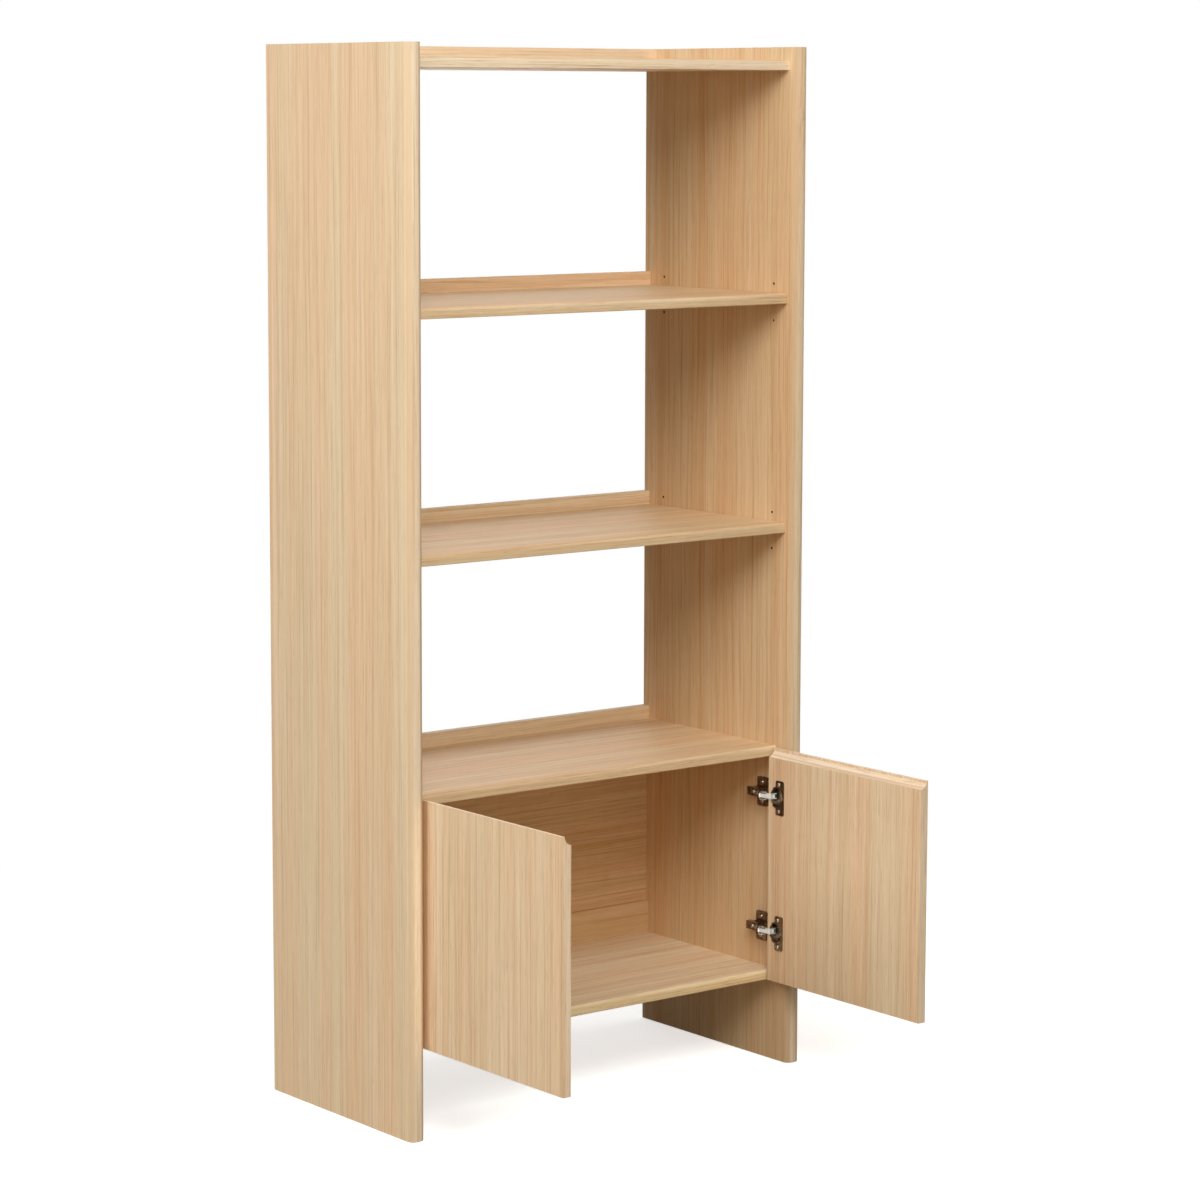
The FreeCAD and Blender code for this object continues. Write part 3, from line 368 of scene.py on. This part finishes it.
# ---- dowels --------------------------------------------------------------------------------------
# Beech pegs glued into the ends of the fixed boards; they line the boards up with the side panels
# and are out of sight once it is put together.

finish("dowels", oak("beech_dowel", "X", 20, 0.001, 0.5))


# ---- shelf pins and cam bolts --------------------------------------------------------------------
# Plain turned steel: pins pushed into the side panels under the loose shelves, and bolts that screw
# into the side panels for the cam locks to draw in.

CLOUD_SCALE = 160.0
WORN_CLOUDS = (0.35, 0.7)
GRIT_SCALE = 2600.0
METAL_BUMP = (0.15, 0.0001)

metal_wear, wear_in, wear_out = new_group(
    "metal_wear",
    [
        ("Place", "Vector"),
        ("Metal", "Color"),
        ("Dulled", "Color"),
        ("Smooth", "Float"),
        ("Rough", "Float"),
    ],
    [("Color", "Color"), ("Roughness", "Float"), ("Height", "Float")],
)
clouds = noise(metal_wear, wear_in["Place"], CLOUD_SCALE, 4.0)
worn = spread(metal_wear, clouds, *WORN_CLOUDS)
sheen = blend_of(metal_wear, worn, wear_in["Metal"], wear_in["Dulled"])
metal_wear.links.new(sheen, wear_out["Color"])
span = sums(metal_wear, "SUBTRACT", wear_in["Rough"], wear_in["Smooth"])
dull = sums(metal_wear, "ADD", wear_in["Smooth"], times(metal_wear, span, worn))
metal_wear.links.new(dull, wear_out["Roughness"])
metal_wear.links.new(noise(metal_wear, wear_in["Place"], GRIT_SCALE, 2.0), wear_out["Height"])


def metal(name, bright, dulled, smooth, rough, metallic=1.0):
    """A metal that turns from bright and smooth to dulled and rough in soft clouds."""
    material, tree, shader, where = new_finish(name)
    wear = add(tree, "Group", node_tree=metal_wear)
    for key, value in (("Metal", bright), ("Dulled", dulled), ("Smooth", smooth), ("Rough", rough)):
        wear.inputs[key].default_value = value
    tree.links.new(where["Object"], wear.inputs["Place"])
    tree.links.new(wear.outputs["Color"], shader.inputs["Base Color"])
    tree.links.new(wear.outputs["Roughness"], shader.inputs["Roughness"])
    bump(tree, shader, wear.outputs["Height"], *METAL_BUMP)
    shader.inputs["Metallic"].default_value = metallic
    return material


pin_steel = metal("pin_steel", colour(190, 188, 184), colour(150, 148, 144), 0.25, 0.4)
for node in ("upper_shelf_pins", "lower_shelf_pins", "cam_bolts"):
    finish(node, pin_steel)


# ---- cam locks and rail screws -------------------------------------------------------------------
# Die-cast zinc cams let into the undersides of the fixed boards, each drawing in its bolt, and
# steel screws driven up through the boards into the back rails.

zinc = metal("zinc_casting", colour(160, 160, 162), colour(130, 130, 134), 0.4, 0.6)
dull_steel = metal("rail_screw_steel", colour(168, 164, 158), colour(126, 122, 116), 0.28, 0.45)
finish("cam_locks", zinc)
finish("rail_screws", dull_steel)


# ---- floor glides --------------------------------------------------------------------------------
# Round brown plastic glides nailed under both side panels. They keep the ends of the boards off the
# floor, and are scuffed where they touch it.

GLIDE_BROWN = colour(126, 100, 78)
GLIDE_SCUFF = colour(158, 136, 114)
GLIDE_ROUGH = (0.42, 0.62)
SCUFF_SCALE = 420.0
SCUFFED = (0.45, 0.7)
MOULD_GRAIN_SCALE = 3200.0
PLASTIC_BUMP = (0.2, 0.0001)

plastic, tree, shader, where = new_finish("glide_plastic")
scuffs = noise(tree, where["Object"], SCUFF_SCALE, 5.0)
worn = spread(tree, scuffs, *SCUFFED)
tree.links.new(blend_of(tree, worn, GLIDE_BROWN, GLIDE_SCUFF), shader.inputs["Base Color"])
tree.links.new(spread(tree, scuffs, 0.3, 0.7, *GLIDE_ROUGH), shader.inputs["Roughness"])
bump(tree, shader, noise(tree, where["Object"], MOULD_GRAIN_SCALE, 2.0), *PLASTIC_BUMP)
finish("floor_glides", plastic)


# ---- doors ---------------------------------------------------------------------------------------
# Two 16 mm veneered doors with upright grain and paler banding on their edges. A cove is cut along
# the inner top edge of each as a finger pull.

# Both doors are lifted a little with painted light.
finish("door_left", oak("oak_door_left", "Z", 15, 0.006, painted_light=0.15, banded=True))
finish("door_right", oak("oak_door_right", "Z", 18, 0.01, painted_light=0.15, banded=True))


# ---- concealed hinges ----------------------------------------------------------------------------
# Pressed steel cup hinges, two to a door: mounting plate, cranked arm and cup in dull nickel
# plating, bright links between them, and steel pins.

nickel = metal("plated_nickel", colour(150, 136, 120), colour(104, 92, 80), 0.22, 0.38)
link_bright, link_dulled = colour(250, 249, 246), colour(232, 230, 226)
bright_steel = metal("bright_steel", link_bright, link_dulled, 0.5, 0.62, 0.55)

for side in ("left", "right"):
    for level in ("lower", "upper"):
        for kind in ("hinge_plate", "hinge_arm", "hinge_cup"):
            finish(f"{kind}_{side}_{level}", nickel)
        for kind in ("short_link", "long_link"):
            finish(f"{kind}_{side}_{level}", bright_steel)
    finish(f"cup_pins_{side}", pin_steel)
    finish(f"link_rivets_{side}", pin_steel)
finish("arm_pins", pin_steel)


# ---- screws of the hinges ------------------------------------------------------------------------
# Pan-head steel screws with a cross recess, zinc plated. They hold the plates to the side panels,
# the arms to the plates and the cups to the doors.

HEAD_RADIUS = 0.0036
HEAD_TALL = 0.002
HEAD_ROUND = 0.0011
HEAD_ROUND_STEPS = 4
HEAD_SIDES = 32
SHANK_RADIUS = 0.002
TIP_SHARE = 0.15
TIP_TAPER = 0.25
RECESS_LONG = 0.0042
RECESS_WIDE = 0.001
RECESS_DEEP = 0.0013
RECESS_TAPER = (0.45, 0.7, 1)
SMOOTH_ANGLE = math.radians(35)
screw_steel = metal("screw_steel", colour(196, 192, 186), colour(150, 145, 138), 0.22, 0.4)


def pick(piece, wanted, kind="faces"):
    """Select the faces or edges of the piece in edit mode that a test wants."""
    shape = bmesh.from_edit_mesh(piece.data)
    for item in list(shape.faces) + list(shape.edges) + list(shape.verts):
        item.select_set(False)
    for item in getattr(shape, kind):
        if wanted(item):
            item.select_set(True)
    bmesh.update_edit_mesh(piece.data)


def faces_down(face):
    """Whether a face is an underside."""
    return face.normal.z < -0.9


def on_top(edge):
    """Whether an edge runs round the top of the screw's head."""
    return all(end.co.z > HEAD_TALL * 0.99 for end in edge.verts)


def apply_all(piece):
    """Apply the piece's modifiers in their order."""
    bpy.ops.object.select_all(action="DESELECT")
    piece.select_set(True)
    bpy.context.view_layer.objects.active = piece
    for modifier in list(piece.modifiers):
        bpy.ops.object.modifier_apply(modifier=modifier.name)


def recess_blade():
    """One tapered blade of the cross that is cut into a screw's head."""
    bpy.ops.object.select_all(action="DESELECT")
    bpy.ops.mesh.primitive_cube_add(size=1, location=(0, 0, HEAD_TALL))
    blade = bpy.context.object
    blade.scale = (RECESS_LONG, RECESS_WIDE, 2 * RECESS_DEEP)
    bpy.ops.object.transform_apply()
    bpy.ops.object.mode_set(mode="EDIT")
    bpy.ops.mesh.select_mode(type="FACE")
    pick(blade, faces_down)
    bpy.ops.transform.resize(value=RECESS_TAPER)
    bpy.ops.object.mode_set(mode="OBJECT")
    return blade


def cross_screw(long):
    """One screw with the seat of its head at the origin and its head upwards."""
    bpy.ops.object.select_all(action="DESELECT")
    bpy.ops.mesh.primitive_cylinder_add(
        vertices=HEAD_SIDES, radius=HEAD_RADIUS, depth=HEAD_TALL, location=(0, 0, HEAD_TALL / 2)
    )
    screw = bpy.context.object
    bpy.ops.object.transform_apply()
    bpy.ops.object.mode_set(mode="EDIT")
    bpy.ops.mesh.select_mode(type="FACE")
    pick(screw, faces_down)
    bpy.ops.mesh.inset(thickness=HEAD_RADIUS - SHANK_RADIUS)
    for share in (1 - TIP_SHARE, TIP_SHARE):
        bpy.ops.mesh.extrude_region_move(TRANSFORM_OT_translate={"value": (0, 0, -share * long)})
    bpy.ops.transform.resize(value=(TIP_TAPER, TIP_TAPER, 1))
    bpy.ops.mesh.select_mode(type="EDGE")
    pick(screw, on_top, "edges")
    bpy.ops.mesh.bevel(offset=HEAD_ROUND, segments=HEAD_ROUND_STEPS)
    bpy.ops.object.mode_set(mode="OBJECT")
    blade = recess_blade()
    crossed = blade.copy()
    crossed.data = blade.data.copy()
    crossed.data.transform(Matrix.Rotation(math.pi / 2, 4, "Z"))
    bpy.context.scene.collection.objects.link(crossed)
    for cutter in (blade, crossed):
        cut = screw.modifiers.new("recess", "BOOLEAN")
        cut.operation = "DIFFERENCE"
        cut.solver = "EXACT"
        cut.object = cutter
    apply_all(screw)
    for cutter in (blade, crossed):
        bpy.data.objects.remove(cutter)
    bpy.ops.object.shade_smooth_by_angle(angle=SMOOTH_ANGLE)
    return screw


# Each screw stops at another angle, turned on by this much from the one before.
SCREW_TURN = 0.7


def set_screws(name, body, node, long, seats):
    """Copy a screw to each seat, given as a point and the side the head faces, as one piece."""
    pattern = cross_screw(long)
    bpy.ops.object.select_all(action="DESELECT")
    for number, (point, facing) in enumerate(seats):
        screw = pattern.copy()
        screw.data = pattern.data.copy()
        driven = Matrix.Rotation(number * SCREW_TURN, 4, "Z")
        turn = Matrix.Rotation(facing * math.pi / 2, 4, "Y") @ driven
        screw.data.transform(Matrix.Translation(point) @ turn)
        bpy.context.scene.collection.objects.link(screw)
        screw.select_set(True)
        bpy.context.view_layer.objects.active = screw
    bpy.ops.object.join()
    joined = bpy.context.object
    joined.name = name
    joined.data.materials.append(screw_steel)
    bpy.data.objects.remove(pattern)
    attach(joined, body)
    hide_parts(node)


# Seats stand out from the side panel, and back from the front of their plate or cup.
PLATE_SCREW_LONG = 0.016
ARM_SCREW_LONG = 0.015
CUP_SCREW_LONG = 0.0122
PLATE_SEAT_OUT = 0.004
ARM_SEAT_OUT = 0.018
SEAT_BACK = 0.0135
ARM_SEATS_BACK = (0.0108, 0.021)
PLATE_SCREWS_APART = 0.034
CUP_SCREWS_APART = 0.048

plate_seats, arm_seats = [], []
for side, facing in (("left", 1), ("right", -1)):
    cup_seats = []
    for level in ("lower", "upper"):
        low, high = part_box(f"hinge_plate_{side}_{level}")
        panel_x = low[0] if side == "left" else high[0]
        middle_z = (low[2] + high[2]) / 2
        plate_x = panel_x + facing * PLATE_SEAT_OUT
        arm_x = panel_x + facing * ARM_SEAT_OUT
        for end in (-0.5, 0.5):
            plate_z = middle_z + end * PLATE_SCREWS_APART
            plate_seats.append(((plate_x, low[1] + SEAT_BACK, plate_z), facing))
        for back in ARM_SEATS_BACK:
            arm_seats.append(((arm_x, low[1] + back, middle_z), facing))
        low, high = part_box(f"hinge_cup_{side}_{level}")
        flange_x = high[0] if side == "left" else low[0]
        for end in (-0.5, 0.5):
            cup_z = middle_z + end * CUP_SCREWS_APART
            cup_seats.append(((flange_x, low[1] + SEAT_BACK, cup_z), facing))
    cup_piece, cup_node = f"cup_cross_screws_{side}", f"cup_screws_{side}"
    set_screws(cup_piece, f"{side}_door", cup_node, CUP_SCREW_LONG, cup_seats)
set_screws("plate_cross_screws", "carcass", "plate_screws", PLATE_SCREW_LONG, plate_seats)
set_screws("arm_cross_screws", "carcass", "arm_screws", ARM_SCREW_LONG, arm_seats)


# ---- floor and room ------------------------------------------------------------------------------
# A pale studio floor that takes the bookcase's shadow and runs out to white, in a white room that
# gives off a little warm light.

# Where it is seen, the floor is white paper, lifted a little; the light it throws back is grey.
FLOOR_SIDES = 96
FLOOR_RADIUS = 14.0
FLOOR_PAPER = colour(250, 250, 250)
FLOOR_GREY = colour(148, 134, 112)
FLOOR_LIFT = 0.64
WHITE_FROM = 1.0
WHITE_TO = 2.3
WHITE = (1.0, 1.0, 1.0, 1.0)
ROOM_WARM = (1.0, 0.9, 0.72, 1.0)
ROOM_STRENGTH = 0.045


def shown(tree):
    """The share of rays that show the backdrop: straight, mirrored or through glass."""
    rays = add(tree, "LightPath").outputs
    direct = sums(tree, "MAXIMUM", rays["Is Camera Ray"], rays["Is Glossy Ray"])
    return sums(tree, "MAXIMUM", direct, rays["Is Transmission Ray"])


bpy.ops.mesh.primitive_circle_add(
    vertices=FLOOR_SIDES, radius=FLOOR_RADIUS, fill_type="TRIFAN", location=(0, 0, 0)
)
floor = bpy.context.object
floor.name = "studio_floor"
floor_paint = bpy.data.materials.new("studio_floor")
floor_paint.use_nodes = True
tree = floor_paint.node_tree
tree.nodes.remove(tree.nodes["Principled BSDF"])
spot = tree.nodes.new("ShaderNodeTexCoord").outputs["Object"]
away = add(tree, "VectorMath", {0: spot}, operation="LENGTH").outputs["Value"]
paper = add(tree, "BsdfDiffuse", {"Color": FLOOR_PAPER}).outputs[0]
lift = add(tree, "Emission", {"Color": WHITE, "Strength": FLOOR_LIFT}).outputs[0]
near = add(tree, "AddShader", {0: paper, 1: lift}).outputs[0]
white = add(tree, "Emission", {"Color": WHITE, "Strength": 1.0}).outputs[0]
share = spread(tree, away, WHITE_FROM, WHITE_TO)
lit = add(tree, "MixShader", {0: share, 1: near, 2: white}).outputs[0]
grey = add(tree, "BsdfDiffuse", {"Color": FLOOR_GREY}).outputs[0]
both = add(tree, "MixShader", {0: shown(tree), 1: grey, 2: lit}).outputs[0]
tree.links.new(both, tree.nodes["Material Output"].inputs["Surface"])
floor.data.materials.append(floor_paint)

world = bpy.data.worlds.new("studio")
bpy.context.scene.world = world
world.use_nodes = True
tree = world.node_tree
room = add(tree, "Background", {"Color": ROOM_WARM, "Strength": ROOM_STRENGTH}).outputs[0]
white = add(tree, "Background", {"Color": WHITE, "Strength": 1.0}).outputs[0]
both = add(tree, "MixShader", {0: shown(tree), 1: room, 2: white}).outputs[0]
tree.links.new(both, tree.nodes["World Output"].inputs["Surface"])


# ---- lamps ---------------------------------------------------------------------------------------
# Square soft boxes, most of their light from the left and the front, with weak ones for the right
# side and the back. Each row gives the name, place, aim, size in metres, watts and tint.

for name, place, aim, size, watts, tint in (
    ("left_lamp", (-4.4, -0.4, 2.8), (0, 0, 1.0), 2.4, 117, (0.96, 1.03, 1.12)),
    ("front_lamp", (-1.8, -3.4, 4.2), (0, 0, 0.6), 2.6, 188, (1.0, 1.02, 0.98)),
    ("key_lamp", (-4.2, -3.2, 3.4), (0, 0.1, 0.8), 2.6, 22, (1.0, 0.92, 0.75)),
    ("low_lamp", (-2.0, -4.2, 1.3), (0, 0, 0.5), 2.4, 24, (1.0, 0.93, 0.78)),
    ("right_lamp", (4.2, 0.5, 1.2), (0, 0, 0.8), 2.4, 44, (1.0, 1.0, 0.98)),
    ("back_lamp", (3.0, 2.8, 3.0), (0, 0, 0.8), 2.4, 14, (1.0, 1.0, 1.0)),
    ("low_back_lamp", (1.8, 4.2, 1.0), (0, 0, 0.8), 2.2, 48, (1.0, 0.99, 0.96)),
):
    light = bpy.data.lights.new(name, "AREA")
    light.shape = "SQUARE"
    light.size = size
    light.energy = watts
    light.color = tint
    lamp = bpy.data.objects.new(name, light)
    bpy.context.scene.collection.objects.link(lamp)
    lamp.location = place
    lamp.rotation_euler = (Vector(aim) - Vector(place)).to_track_quat("-Z", "Y").to_euler()


# ---- camera --------------------------------------------------------------------------------------
# At standing eye height, to the left of the front and looking slightly down, with a long lens that
# keeps the uprights nearly parallel.

EYE = Vector((-3.754, -4.7563, 1.706))
YAW = math.radians(37.80)
PITCH = math.radians(-6.86)
ROLL = math.radians(0.11)
SENSOR_MM = 36.0
LENS_MM = 108.2
SHIFT = (0.020, -0.054)
SEES_TO = 60.0

lens = bpy.data.cameras.new("camera")
lens.sensor_width = SENSOR_MM
lens.lens = LENS_MM
lens.shift_x, lens.shift_y = SHIFT
lens.clip_end = SEES_TO
camera = bpy.data.objects.new("camera", lens)
bpy.context.scene.collection.objects.link(camera)
flat = math.cos(PITCH)
forward = Vector((math.sin(YAW) * flat, math.cos(YAW) * flat, math.sin(PITCH)))
turn = forward.to_track_quat("-Z", "Y").to_matrix().to_4x4() @ Matrix.Rotation(ROLL, 4, "Z")
camera.matrix_world = Matrix.Translation(EYE) @ turn
bpy.context.scene.camera = camera
bpy.context.scene.view_settings.view_transform = "Standard"
